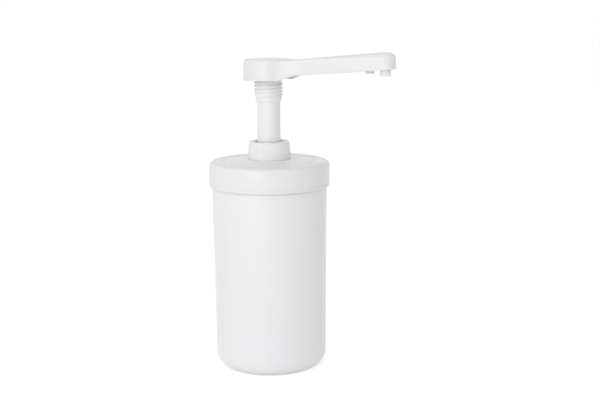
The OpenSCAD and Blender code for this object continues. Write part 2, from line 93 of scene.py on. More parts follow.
def pick(piece, test, kind="VERT"):
    # selects what the test accepts: vertices by their place in mm, or faces
    bpy.ops.mesh.select_all(action="DESELECT")
    bpy.ops.mesh.select_mode(type=kind)
    bm = bmesh.from_edit_mesh(piece.data)
    if kind == "VERT":
        for vert in bm.verts:
            vert.select_set(test(vert.co / mm))
    else:
        for face in bm.faces:
            face.select_set(test(face))
    bm.select_flush_mode()
    bmesh.update_edit_mesh(piece.data)


def moveVerts(piece, place):
    # place(co) gives a vertex its new place, both in mm
    bm = bmesh.from_edit_mesh(piece.data)
    for vert in bm.verts:
        vert.co = Vector(place(vert.co / mm)) * mm
    bmesh.update_edit_mesh(piece.data)


def applyModifier(piece, kind, **settings):
    takeUp(piece)
    modifier = piece.modifiers.new(kind.title(), kind)
    for key, value in settings.items():
        setattr(modifier, key, value)
    bpy.ops.object.modifier_apply(modifier=modifier.name)


def closeUp(piece, weld=0.002):
    # merges doubles and turns every face outwards
    editPiece(piece)
    bpy.ops.mesh.select_all(action="SELECT")
    bpy.ops.mesh.remove_doubles(threshold=weld * mm)
    bpy.ops.mesh.fill_holes(sides=0)
    bpy.ops.mesh.normals_make_consistent(inside=False)
    bpy.ops.object.mode_set(mode="OBJECT")


def joinPieces(piece, *others):
    takeUp(piece, *others)
    bpy.ops.object.join()
    return piece


def finishPiece(piece, body, material, sharp=32, replaced=()):
    takeUp(piece)
    bpy.ops.object.transform_apply(location=True, rotation=True, scale=True)
    bpy.ops.object.shade_smooth_by_angle(angle=radians(sharp))
    piece.data.materials.clear()
    piece.data.materials.append(material)
    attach(piece, body)
    if replaced:
        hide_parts(*replaced)
    return piece


def turnPiece(name, outline, steps=144, closed=True, start=0, angle=360):
    # spins an outline of (radius, height, corner radius) round the Z axis, all in mm
    pickNothing()
    bpy.ops.mesh.primitive_plane_add(size=mm)
    piece = bpy.context.active_object
    piece.name = piece.data.name = name
    editPiece(piece)
    bm = bmesh.from_edit_mesh(piece.data)
    bm.verts.ensure_lookup_table()
    for vert in bm.verts[1:]:
        vert.select_set(True)
    bmesh.update_edit_mesh(piece.data)
    bpy.ops.mesh.delete(type="VERT")
    bpy.ops.mesh.select_all(action="SELECT")
    moveVerts(piece, lambda co: (outline[0][0], 0, outline[0][1]))
    path = outline[1:] + (outline[:1] if closed else [])
    last = outline[0]
    for point in path:
        step = ((point[0] - last[0]) * mm, 0, (point[1] - last[1]) * mm)
        bpy.ops.mesh.extrude_vertices_move(TRANSFORM_OT_translate={"value": step})
        last = point
    bpy.ops.mesh.select_all(action="SELECT")
    bpy.ops.mesh.remove_doubles(threshold=0.002 * mm)
    roundCorners(piece, outline, closed)
    moveVerts(piece, lambda co: Matrix.Rotation(radians(start), 3, "Z") @ co)
    bpy.ops.mesh.select_all(action="SELECT")
    bpy.ops.mesh.spin(steps=steps, angle=radians(angle), use_auto_merge=angle == 360, center=(0, 0, 0),
                      axis=(0, 0, 1))
    closeUp(piece)
    return piece


def roundCorners(piece, outline, closed):
    # bevels each corner of a flat outline to its own radius
    count = len(outline)
    for i, (r, z, radius) in enumerate(outline):
        if radius <= 0 or (not closed and i in (0, count - 1)):
            continue
        before, after = outline[i - 1], outline[(i + 1) % count]
        inward = atan2(z - before[1], r - before[0])
        onward = atan2(after[1] - z, after[0] - r)
        turn = abs((onward - inward + pi) % (2 * pi) - pi)
        reach = radius * tan(turn / 2)
        pick(piece, lambda co: hypot(co.x - r, co.z - z) < 0.004)
        bpy.ops.mesh.bevel(offset=reach * mm, segments=max(2, round(degrees(turn) / 11)),
                           affect="VERTICES", offset_type="OFFSET", profile=0.5)


threadForm = {"root": 0.4, "corner": 0.22, "steps": 96, "fade": 24, "endShare": 0.3}


def addThread(name, values, turns):
    # a trapezoid ridge drawn round by the Screw modifier, with both ends let into the wall
    r, rise, z = values["radius"], values["depth"], values["z"]
    way = 1 if rise > 0 else -1
    root = r - threadForm["root"] * way
    pickNothing()
    bpy.ops.mesh.primitive_plane_add(size=mm, rotation=(pi / 2, 0, 0))
    piece = bpy.context.active_object
    piece.name = piece.data.name = name
    bpy.ops.object.transform_apply(rotation=True)
    editPiece(piece)
    foot, crest = values["foot"] / 2, values["crest"] / 2

    def section(co):
        outer = co.x * way > 0
        half = crest if outer else foot
        x = r + rise if outer else root
        return (x, 0, z + (half if co.z > 0 else -half))

    moveVerts(piece, section)
    bpy.ops.mesh.select_all(action="SELECT")
    bpy.ops.mesh.bevel(offset=threadForm["corner"] * mm, segments=2, affect="VERTICES")
    bpy.ops.mesh.select_all(action="SELECT")
    bpy.ops.mesh.delete(type="ONLY_FACE")
    bpy.ops.object.mode_set(mode="OBJECT")
    steps = round(threadForm["steps"] * turns)
    applyModifier(piece, "SCREW", axis="Z", angle=2 * pi * turns, screw_offset=values["pitch"] * turns * mm,
                  steps=steps, render_steps=steps, use_merge_vertices=False)
    editPiece(piece)
    total, endShare = 360 * turns, threadForm["endShare"]

    def settle(co):
        height = co.z - z
        turn = degrees(atan2(co.y, co.x)) % 360
        # the height tells which turn of the helix the point is on
        lap = round((height / values["pitch"] * 360 - turn) / 360)
        along = turn + 360 * lap
        share = min(1, max(0, min(along, total - along) / threadForm["fade"]))
        share = endShare + (1 - endShare) * share
        radius = hypot(co.x, co.y)
        eased = root + (radius - root) * share
        return (co.x * eased / radius, co.y * eased / radius, co.z)

    moveVerts(piece, settle)
    bpy.ops.object.mode_set(mode="OBJECT")
    closeUp(piece)
    return piece


def link(tree, source, target):
    tree.links.new(source, target)


def makeGroup(name, inputs, outputs):
    group = bpy.data.node_groups.new(name, "ShaderNodeTree")
    for title, kind, value in inputs:
        socket = group.interface.new_socket(title, in_out="INPUT", socket_type=kind)
        if value is not None:
            socket.default_value = value
    for title, kind in outputs:
        group.interface.new_socket(title, in_out="OUTPUT", socket_type=kind)
    entry = group.nodes.new("NodeGroupInput")
    leave = group.nodes.new("NodeGroupOutput")
    return group, entry.outputs, leave.inputs


def addNode(tree, kind, **settings):
    node = tree.nodes.new(kind)
    for key, value in settings.items():
        if key == "sockets":
            for title, amount in value.items():
                node.inputs[title].default_value = amount
        else:
            setattr(node, key, value)
    return node


def addMath(tree, operation, first, second):
    node = addNode(tree, "ShaderNodeMath", operation=operation)
    for socket, value in zip(node.inputs, (first, second)):
        if isinstance(value, (int, float)):
            socket.default_value = value
        else:
            link(tree, value, socket)
    return node.outputs[0]


def buildMouldedSkin():
    # the drift of colour, gloss and height that moulded plastic has
    group, given, result = makeGroup("mouldedSkin", [
        ("Vector", "NodeSocketVector", None), ("Colour", "NodeSocketColor", (0.85, 0.85, 0.85, 1)),
        ("Shade", "NodeSocketFloat", 0.03), ("Gloss", "NodeSocketFloat", 0.35),
        ("Spread", "NodeSocketFloat", 0.08), ("Grain", "NodeSocketFloat", 900.0)],
        [("Colour", "NodeSocketColor"), ("Roughness", "NodeSocketFloat"), ("Height", "NodeSocketFloat")])
    cloud = addNode(group, "ShaderNodeTexNoise", sockets={"Scale": 14.0, "Detail": 4.0, "Roughness": 0.55})
    grain = addNode(group, "ShaderNodeTexNoise", sockets={"Detail": 2.0, "Roughness": 0.6})
    flow = addNode(group, "ShaderNodeMapping")
    flow.inputs["Scale"].default_value = (1, 1, 0.06)
    streak = addNode(group, "ShaderNodeTexNoise", sockets={"Scale": 120.0, "Detail": 3.0, "Roughness": 0.5})
    for texture in (cloud, grain):
        link(group, given["Vector"], texture.inputs["Vector"])
    link(group, given["Vector"], flow.inputs["Vector"])
    link(group, flow.outputs[0], streak.inputs["Vector"])
    link(group, given["Grain"], grain.inputs["Scale"])
    # colour: the base, a little darker where the cloud and the streaks are dark
    dark = addMath(group, "SUBTRACT", 1.0, cloud.outputs["Fac"])
    dark = addMath(group, "ADD", dark, addMath(group, "MULTIPLY", streak.outputs["Fac"], 0.4))
    dark = addMath(group, "MULTIPLY", dark, given["Shade"])
    keep = addMath(group, "SUBTRACT", 1.0, dark)
    tint = addNode(group, "ShaderNodeVectorMath", operation="SCALE")
    link(group, given["Colour"], tint.inputs[0])
    link(group, keep, tint.inputs["Scale"])
    link(group, tint.outputs[0], result["Colour"])
    # gloss: rougher where the cloud is light, with the fine grain over it
    drift = addMath(group, "SUBTRACT", cloud.outputs["Fac"], 0.5)
    drift = addMath(group, "ADD", drift, addMath(group, "MULTIPLY", grain.outputs["Fac"], 0.35))
    drift = addMath(group, "MULTIPLY", drift, given["Spread"])
    link(group, addMath(group, "ADD", given["Gloss"], drift), result["Roughness"])
    swell = addMath(group, "MULTIPLY", cloud.outputs["Fac"], 0.8)
    link(group, addMath(group, "ADD", grain.outputs["Fac"], swell), result["Height"])
    return group


def buildHandling():
    # hairline scuffs and settled dust, as masks from 0 to 1
    group, given, result = makeGroup("handling", [
        ("Vector", "NodeSocketVector", None), ("Scuffs", "NodeSocketFloat", 0.5),
        ("Dust", "NodeSocketFloat", 0.5)],
        [("Scuff", "NodeSocketFloat"), ("Dust", "NodeSocketFloat")])
    masks = []
    for angle, scale in ((0.5, 70.0), (-0.9, 95.0)):
        turned = addNode(group, "ShaderNodeMapping")
        turned.inputs["Rotation"].default_value = (0.3, angle, angle * 1.7)
        turned.inputs["Scale"].default_value = (1, 0.07, 1.2)
        lines = addNode(group, "ShaderNodeTexNoise", sockets={"Scale": scale, "Detail": 1.0})
        link(group, given["Vector"], turned.inputs["Vector"])
        link(group, turned.outputs[0], lines.inputs["Vector"])
        edge = addNode(group, "ShaderNodeMapRange", sockets={"From Min": 0.69, "From Max": 0.74})
        link(group, lines.outputs["Fac"], edge.inputs["Value"])
        masks.append(edge.outputs[0])
    scuff = addMath(group, "MAXIMUM", *masks)
    link(group, addMath(group, "MULTIPLY", scuff, given["Scuffs"]), result["Scuff"])
    facing = addNode(group, "ShaderNodeNewGeometry")
    split = addNode(group, "ShaderNodeSeparateXYZ")
    link(group, facing.outputs["Normal"], split.inputs[0])
    flat = addNode(group, "ShaderNodeMapRange", sockets={"From Min": 0.55, "From Max": 1.0})
    link(group, split.outputs["Z"], flat.inputs["Value"])
    speck = addNode(group, "ShaderNodeTexNoise", sockets={"Scale": 420.0, "Detail": 5.0, "Roughness": 0.7})
    link(group, given["Vector"], speck.inputs["Vector"])
    loose = addNode(group, "ShaderNodeMapRange", sockets={"From Min": 0.42, "From Max": 0.75})
    link(group, speck.outputs["Fac"], loose.inputs["Value"])
    dust = addMath(group, "MULTIPLY", flat.outputs[0], loose.outputs[0])
    link(group, addMath(group, "MULTIPLY", dust, given["Dust"]), result["Dust"])
    return group


wearShares = {"dustTone": 0.93, "scuffRough": 0.07, "dustRough": 0.05, "scuffDeep": 0.25,
              "bumpDeep": 0.00006}


def makePlastic(name, values):
    material = bpy.data.materials.new(name)
    material.use_nodes = True
    tree = material.node_tree
    tree.nodes.clear()
    out = addNode(tree, "ShaderNodeOutputMaterial")
    shader = addNode(tree, "ShaderNodeBsdfPrincipled", sockets={
        "IOR": 1.5, "Specular IOR Level": values.get("specular", 0.5),
        "Subsurface Weight": values.get("depth", 0.0), "Metallic": values.get("metal", 0.0)})
    shader.inputs["Subsurface Radius"].default_value = (0.004, 0.004, 0.0045)
    shader.inputs["Subsurface Scale"].default_value = 1.0
    place = addNode(tree, "ShaderNodeTexCoord")
    skin = addNode(tree, "ShaderNodeGroup", node_tree=mouldedSkin)
    skin.inputs["Colour"].default_value = (*values["colour"], 1)
    for title, key in (("Shade", "shade"), ("Gloss", "gloss"), ("Spread", "spread"), ("Grain", "grain")):
        skin.inputs[title].default_value = values[key]
    wear = addNode(tree, "ShaderNodeGroup", node_tree=handling)
    wear.inputs["Scuffs"].default_value = values.get("scuffs", 0.4)
    wear.inputs["Dust"].default_value = values.get("dust", 0.4)
    for group in (skin, wear):
        link(tree, place.outputs["Object"], group.inputs["Vector"])
    dusty = addNode(tree, "ShaderNodeMix", data_type="RGBA")
    dusty.inputs["B"].default_value = (*[c * wearShares["dustTone"] for c in values["colour"]], 1)
    link(tree, skin.outputs["Colour"], dusty.inputs["A"])
    link(tree, wear.outputs["Dust"], dusty.inputs["Factor"])
    link(tree, dusty.outputs["Result"], shader.inputs["Base Color"])
    rough = addMath(tree, "ADD", skin.outputs["Roughness"],
                    addMath(tree, "MULTIPLY", wear.outputs["Scuff"], wearShares["scuffRough"]))
    rough = addMath(tree, "ADD", rough,
                    addMath(tree, "MULTIPLY", wear.outputs["Dust"], wearShares["dustRough"]))
    link(tree, rough, shader.inputs["Roughness"])
    height = addMath(tree, "SUBTRACT", skin.outputs["Height"],
                     addMath(tree, "MULTIPLY", wear.outputs["Scuff"], wearShares["scuffDeep"]))
    bump = addNode(tree, "ShaderNodeBump", sockets={"Strength": values["bump"],
                                                    "Distance": wearShares["bumpDeep"]})
    link(tree, height, bump.inputs["Height"])
    link(tree, bump.outputs[0], shader.inputs["Normal"])
    link(tree, shader.outputs[0], out.inputs["Surface"])
    return material


# what each finish is made of: scuffs and dust are 0.4 and specular 0.5 where a finish gives none
finishes = {
    "jarPlastic": {"colour": (0.85, 0.85, 0.864), "gloss": 0.28, "spread": 0.10, "shade": 0.02, "grain": 700,
                   "bump": 0.3, "scuffs": 0.35, "dust": 0.3, "specular": 0.35},
    "lidPlastic": {"colour": (0.825, 0.823, 0.823), "gloss": 0.22, "spread": 0.05, "shade": 0.02,
                   "grain": 1100, "bump": 0.15, "scuffs": 0.2, "dust": 0.5},
    # the pump parts' own white, raised a little as painted light that lifts the collar and sleeve out of the
    # drum's shade
    "pumpPlasticPaintedLight": {"colour": (0.865, 0.865, 0.865), "gloss": 0.27, "spread": 0.10, "shade": 0.02,
                    "grain": 1300, "bump": 0.2, "scuffs": 0.25, "dust": 0.4, "specular": 0.4},
    # a darker copy of the pump plastic for the head: painted shade that takes down the light falling on the
    # head
    "headPlasticPaintedShade": {"colour": (0.82, 0.82, 0.82), "gloss": 0.27, "spread": 0.10, "shade": 0.02,
                    "grain": 1300, "bump": 0.2, "scuffs": 0.3, "dust": 0.5, "specular": 0.4},
    "naturalPlastic": {"colour": (0.78, 0.79, 0.79), "gloss": 0.3, "spread": 0.1, "shade": 0.04, "grain": 900,
                       "bump": 0.3, "depth": 0.3},
    "linerFoam": {"colour": (0.76, 0.77, 0.77), "gloss": 0.75, "spread": 0.2, "shade": 0.1, "grain": 2600,
                  "bump": 0.9},
    "sealRubber": {"colour": (0.3, 0.31, 0.33), "gloss": 0.55, "spread": 0.15, "shade": 0.15, "grain": 1500,
                   "bump": 0.5},
    "brightSteel": {"colour": (0.6, 0.61, 0.63), "gloss": 0.2, "spread": 0.15, "shade": 0.05, "grain": 1800,
                    "bump": 0.2, "metal": 1.0, "dust": 0.0},
}


print("building materials")
mouldedSkin = buildMouldedSkin()
handling = buildHandling()
materials = {name: makePlastic(name, values) for name, values in finishes.items()}
slotFinish = {"jar_plastic": "jarPlastic", "lid_plastic": "lidPlastic", "pump_plastic": "pumpPlasticPaintedLight",
              "barrel_plastic": "naturalPlastic", "liner_foam": "linerFoam", "seal_rubber": "sealRubber",
              "steel": "brightSteel"}
for part in frame["record"]["subparts"]:
    shown = nodes[part["node"]]
    shown.data.materials.clear()
    shown.data.materials.append(materials[slotFinish[part["material_slot"]]])


# where the viewer stands: the turn round the bottle and the look down in degrees, the rest in mm
viewer = {"turn": 25.0, "down": 10.25, "roll": -0.4, "distance": 1106.0, "across": 30.4, "aim": 167.9,
          "lens": 66.0}


def placeCamera(values):
    turn = Matrix.Rotation(radians(values["turn"]), 4, "Z")
    down = radians(values["down"])
    ahead = Vector((0, cos(down), -sin(down)))
    eye = Vector((values["across"], 0, values["aim"])) - ahead * values["distance"]
    lens = bpy.data.cameras.new("viewCamera")
    lens.lens = values["lens"]
    lens.sensor_width = 36.0
    lens.clip_end = 50.0
    camera = bpy.data.objects.new("viewCamera", lens)
    bpy.context.scene.collection.objects.link(camera)
    facing = Matrix.Rotation(pi / 2 - down, 4, "X") @ Matrix.Rotation(radians(values["roll"]), 4, "Z")
    camera.matrix_world = turn @ Matrix.Translation(eye * mm) @ facing
    bpy.context.scene.camera = camera


# the light: sky strength, floor colour, and soft boxes in watts, degrees and metres
studio = {"sky": 0.65, "floorTone": 0.97, "floorLift": 0.375, "lampAway": 1.9, "aimHigh": 0.17,
          "lamps": {"keyLamp": {"power": 8.2, "turn": -24.0, "up": 8.0, "wide": 1.2, "high": 1.2},
                    "leftLamp": {"power": 3.8, "turn": -49.0, "up": 33.0, "wide": 0.5, "high": 1.0},
                    "rightLamp": {"power": 2.3, "turn": 26.0, "up": 33.0, "wide": 0.5, "high": 1.0}}}


def whiteForViewer(tree):
    # 1 where the ray comes from the viewer, a mirror or through glass
    path = addNode(tree, "ShaderNodeLightPath")
    seen = addMath(tree, "MAXIMUM", path.outputs["Is Camera Ray"], path.outputs["Is Glossy Ray"])
    return addMath(tree, "MAXIMUM", seen, path.outputs["Is Transmission Ray"])


def addLamp(name, values, away, aimHigh):
    # a soft box that looks at the middle of the bottle; turn and up are from the viewer's side
    light = bpy.data.lights.new(name, "AREA")
    light.energy = values["power"]
    light.shape = "RECTANGLE"
    light.size = values["wide"]
    light.size_y = values["high"]
    lamp = bpy.data.objects.new(name, light)
    bpy.context.scene.collection.objects.link(lamp)
    side = radians(viewer["turn"] + values["turn"])
    high = radians(values["up"])
    toLamp = Vector((sin(side) * cos(high), -cos(side) * cos(high), sin(high)))
    lamp.location = Vector((0, 0, aimHigh)) + toLamp * away
    lamp.rotation_euler = toLamp.to_track_quat("Z", "Y").to_euler()


def buildStudio(values):
    world = bpy.data.worlds.new("studioSky")
    bpy.context.scene.world = world
    world.use_nodes = True
    tree = world.node_tree
    tree.nodes.clear()
    out = addNode(tree, "ShaderNodeOutputWorld")
    sky = addNode(tree, "ShaderNodeBackground")
    sky.inputs["Color"].default_value = (1, 1, 1, 1)
    level = addNode(tree, "ShaderNodeMapRange", sockets={"To Min": values["sky"], "To Max": 1.0})
    link(tree, whiteForViewer(tree), level.inputs["Value"])
    link(tree, level.outputs[0], sky.inputs["Strength"])
    link(tree, sky.outputs[0], out.inputs["Surface"])

    bpy.ops.mesh.primitive_plane_add(size=30, location=(0, 0, 0))
    floor = bpy.context.active_object
    floor.name = floor.data.name = "studioFloor"
    paper = bpy.data.materials.new("studioPaper")
    paper.use_nodes = True
    tree = paper.node_tree
    tree.nodes.clear()
    out = addNode(tree, "ShaderNodeOutputMaterial")
    matt = addNode(tree, "ShaderNodeBsdfDiffuse")
    tone = values["floorTone"]
    matt.inputs["Color"].default_value = (tone, tone, tone, 1)
    glow = addNode(tree, "ShaderNodeEmission")
    glow.inputs["Color"].default_value = (1, 1, 1, 1)
    lift = addMath(tree, "MULTIPLY", whiteForViewer(tree), values["floorLift"])
    link(tree, lift, glow.inputs["Strength"])
    both = addNode(tree, "ShaderNodeAddShader")
    link(tree, matt.outputs[0], both.inputs[0])
    link(tree, glow.outputs[0], both.inputs[1])
    link(tree, both.outputs[0], out.inputs["Surface"])
    floor.data.materials.append(paper)

    for name, lampValues in values["lamps"].items():
        addLamp(name, lampValues, values["lampAway"], values["aimHigh"])


# the jar: one turned wall with a hollow base and a threaded neck, and the mould's parting line
jarForm = {"wall": 1.6, "base": 13.2, "taper": 1.6, "hollow": 2.4, "footRing": 3.0, "footSlope": 3.8,
           "lidGap": 0.6, "neckIn": 2.2, "neckWall": 2.2, "seamTurn": 26.0, "seamRise": 0.11,
           "seamHalf": 0.3, "skinDeep": 0.7, "threadDepth": 1.55, "threadLift": 5.4, "threadFoot": 3.0,
           "threadCrest": 1.4, "pitch": 6.0, "turns": 1.25}


def buildJar(values):
    r, top = radiusOf("jar"), topOf("jar")
    wall, base, hollow = values["wall"], values["base"], values["hollow"]
    shoulder = footOf("lid") - values["lidGap"]
    low = r - values["taper"]
    neck = r - values["neckIn"]
    bore = neck - values["neckWall"]
    foot = low - base - values["footRing"]
    dome = foot - values["footSlope"]
    jar = turnPiece("jarBody", [
        (0, hollow, 0), (dome, hollow, 2.5), (foot, 0, 2.5), (low, 0, base), (low, base + 1, 0),
        (r, shoulder, 1.0), (neck, shoulder, 0.6), (neck, top, 0.8), (bore, top, 0.6),
        (bore, shoulder - 2.2, 0.8), (r - wall, shoulder - 4, 1.5), (low - wall, base + 1, 0),
        (low - wall, wall, base - wall), (foot + wall, wall, 2.0), (foot - 2, hollow + wall, 2.0),
        (0, hollow + wall, 0)], steps=160, closed=False)
    # the parting line is cut into the skin at both sides and lifted
    angle = radians(values["seamTurn"])
    across = Vector((-sin(angle), cos(angle), 0))

    def onSkin(co):
        flat = hypot(co.x, co.y)
        if not 0.8 < co.z < shoulder - 1.5:
            return False
        if co.z > base:
            return flat > low + (r - low) * (co.z - base) / (shoulder - base) - values["skinDeep"]
        return hypot(flat - (low - base), co.z - base) > base - values["skinDeep"]

    editPiece(jar)
    for offset in (-values["seamHalf"], 0, values["seamHalf"]):
        pick(jar, lambda face: onSkin(face.calc_center_median() / mm), "FACE")
        bpy.ops.mesh.bisect(plane_co=across * offset * mm, plane_no=across)

    def liftSeam(co):
        if abs(co.dot(across)) > 0.01 or not onSkin(co):
            return co
        away = Vector((co.x, co.y, 0)).normalized()
        if co.z < base:
            away = (away * (hypot(co.x, co.y) - low + base) + up * (co.z - base)).normalized()
        return co + away * values["seamRise"]

    moveVerts(jar, liftSeam)
    thread = addThread("jarThread", {
        "radius": neck, "depth": values["threadDepth"], "z": shoulder + values["threadLift"],
        "foot": values["threadFoot"], "crest": values["threadCrest"], "pitch": values["pitch"]},
        values["turns"])
    joinPieces(jar, thread)
    finishPiece(jar, "jar", materials["jarPlastic"], replaced=("jar",))


# the lid: a turned cap with a rim, a low crown and the pump's neck, threaded inside and out
lidForm = {"wall": 2.8, "over": 3.1, "lipDrop": 0.45, "plate": 2.6, "rim": 4.8, "rimWidth": 10.6,
           "crownRise": 2.3, "crownFlat": 5.2, "bore": 15.95, "neck": 17.5, "plugIn": 49.75,
           "plugOut": 51.05, "plugDrop": 1.8, "bandLow": 2.6, "bandHigh": 3.15, "bandDeep": 0.42,
           "threadDepth": 1.55, "pitch": 6.0, "threadLift": 4.8, "neckThread": 1.15, "neckPitch": 4.2,
           "neckLift": 3.4, "neckTurns": 1.25}


def buildLid(values):
    r, low, neckTop = radiusOf("jar") + values["over"], footOf("lid"), topOf("lid")
    plate = topOf("lid_liner") + 0.05
    top = plate + values["plate"]
    crownTop = top + values["crownRise"]
    crown = radiusOf("collar") + values["crownFlat"]
    bore, neck, rim = values["bore"], values["neck"], values["rim"]
    skirt, foot = r - values["wall"], r - rim - values["rimWidth"]
    plug, lip = topOf("jar") - values["plugDrop"], low - values["lipDrop"]
    plugIn, plugOut = values["plugIn"], values["plugOut"]
    bandLow, bandHigh, band = low + values["bandLow"], low + values["bandHigh"], r - values["bandDeep"]
    lid = turnPiece("lidShell", [
        (bore, neckTop, 0.3), (bore, plate, 0.3), (plugIn, plate, 0.3), (plugIn, plug, 0.3),
        (plugOut, plug, 0.3), (plugOut, plate, 0.4), (skirt, plate, 0.8), (skirt, lip, 0.4),
        (r, lip, 0.5), (r, low + 2.3, 0.25), (band, bandLow, 0.2), (band, bandHigh, 0.2),
        (r, low + 3.5, 0.25), (r, top, rim), (r - rim - 0.1, top, 0.15), (r - rim - 0.5, top - 0.4, 0.3),
        (r - rim - 1.3, top - 0.4, 0.3), (r - rim - 1.75, top, 0.3), (foot + 3.0, top, 0.5),
        (foot + 1.8, top - 0.75, 0.6), (foot + 0.6, top - 0.75, 0.5), (foot - 0.5, top + 0.22, 0.5),
        (crown + 1, crownTop - 0.5, 1.0), (crown, crownTop, 0.5), (neck + 0.35, crownTop, 0),
        (neck, crownTop + 0.35, 0), (neck, neckTop, 0.5)], steps=180)
    pitch = values["pitch"]
    inner = addThread("lidThread", {
        "radius": skirt, "depth": -values["threadDepth"],
        "z": low + values["threadLift"] - pitch * 0.37, "foot": 3.0, "crest": 1.4, "pitch": pitch}, 1)
    outer = addThread("pumpNeckThread", {
        "radius": neck, "depth": values["neckThread"], "z": crownTop + values["neckLift"],
        "foot": 2.1, "crest": 0.9,
        "pitch": values["neckPitch"]}, values["neckTurns"])
    joinPieces(lid, inner, outer)
    finishPiece(lid, "lid", materials["lidPlastic"], replaced=("lid",))


# the collar: a turned ring whose ribs are grooved out of every fourth column
collarForm = {"wall": 2.2, "bandHigh": 5.9, "stepIn": 0.45, "topIn": 1.2, "opening": 16.9, "lip": 2.05,
              "ribs": 60, "groove": 0.5, "grooveHalf": 0.1, "threadDepth": 1.15, "pitch": 4.2,
              "threadLift": 2.9, "footDrop": 0.42}


def buildCollar(values):
    low, high, band = footOf("collar"), topOf("collar"), radiusOf("collar")
    inner, bandTop = band - values["wall"], low + values["bandHigh"]
    wall, top, lip = band - values["stepIn"], band - values["topIn"], high - values["lip"]
    foot = low - values["footDrop"]
    ring = turnPiece("collarRing", [
        (inner, foot, 0.3), (band, foot, 0.3), (band, bandTop, 0.4), (wall, bandTop + 0.25, 0.3),
        (top, high - 1.7, 0), (top, high, 1.4), (values["opening"], high, 0.4),
        (values["opening"], lip, 0.25), (inner, lip, 0.4)], steps=values["ribs"] * 4)
    editPiece(ring)
    pitch = 360 / values["ribs"]

    def groove(co):
        flat = hypot(co.x, co.y)
        place = (degrees(atan2(co.y, co.x)) / pitch + 0.5) % 1 - 0.5
        if abs(place) > values["grooveHalf"] or flat < top - 0.2 or not low + 0.2 < co.z < high - 1.2:
            return co
        share = 1 - values["groove"] / flat
        return (co.x * share, co.y * share, co.z)

    moveVerts(ring, groove)
    bpy.ops.object.mode_set(mode="OBJECT")
    thread = addThread("collarThread", {
        "radius": inner, "depth": -values["threadDepth"],
        "z": low + values["threadLift"] - values["pitch"] * 0.4,
        "foot": 2.1, "crest": 0.9, "pitch": values["pitch"]}, 1)
    joinPieces(ring, thread)
    finishPiece(ring, "collar", materials["pumpPlasticPaintedLight"], sharp=38, replaced=("collar",))


# the head: a round drum that runs into a long spout cover, open underneath
headForm = {"draft": 0.8, "wall": 1.9, "edge": 2.4, "drumHigh": 20.6, "root": 13.5, "rootAt": 14.0,
            "tip": 10.0, "tipEdge": 7.0, "tipHigh": 16.5, "reach": 123.0, "topRise": 0.092,
            "footRise": 0.076, "blendTurn": 50.0, "blendEnd": 46.0, "blendPull": 5.5, "footFrom": 18.5,
            "footRun": 18.5, "topFrom": 14.0, "topRun": 24.0, "blendReach": 16.0, "draftEase": 0.6,
            "draftFade": (20, 50), "edgeFrom": 40.0, "crown": 0.2, "crownGrow": (10, 45),
            "crownFade": 80.0, "tipSteps": 24, "sideSteps": 26, "drumSteps": 40, "ringIn": 13.3,
            "ringOut": 14.8, "ringDeep": 6.0, "ringTurn": 318, "ribIn": 14.4, "ribDeep": 5.0,
            "ribThick": 1.2}


def smoothStep(value, low, high):
    share = min(1, max(0, (value - low) / (high - low)))
    return share * share * (3 - 2 * share)


def headOutline(values, drum):
    # half of the head's plan from the spout's tip round to the drum's back, with the point of
    # the middle line that belongs to each place
    reach, tip = values["reach"], values["tip"]
    slope = (values["root"] - tip) / (reach - values["rootAt"])
    lean = atan2(slope, 1)
    bend, sides, back = values["tipSteps"], values["sideSteps"], values["drumSteps"]
    points = []
    for i in range(bend + 1):
        turn = (pi / 2 - lean) * i / bend
        points.append((reach + tip * cos(turn), tip * sin(turn), reach))
    far = values["blendEnd"]
    for i in range(1, sides + 1):
        x = reach - (reach - far) * i / sides
        points.append((x, tip + (reach - x) * slope, x))
    turn = radians(values["blendTurn"])
    near = Vector((drum * cos(turn), drum * sin(turn)))
    side, pull = points[-1], values["blendReach"]
    handles = (Vector(side[:2]), Vector((far - pull, side[1] + pull * slope)),
               near + Vector((sin(turn), -cos(turn))) * values["blendPull"], near)
    for i in range(1, bend + 1):
        t = i / bend
        mix = ((1 - t) ** 3, 3 * t * (1 - t) ** 2, 3 * t * t * (1 - t), t ** 3)
        spot = sum((h * m for h, m in zip(handles, mix)), Vector((0, 0)))
        points.append((spot.x, spot.y, far * (1 - t)))
    for i in range(1, back + 1):
        angle = turn + (pi - turn) * i / back
        points.append((drum * cos(angle), drum * sin(angle), 0))
    return points


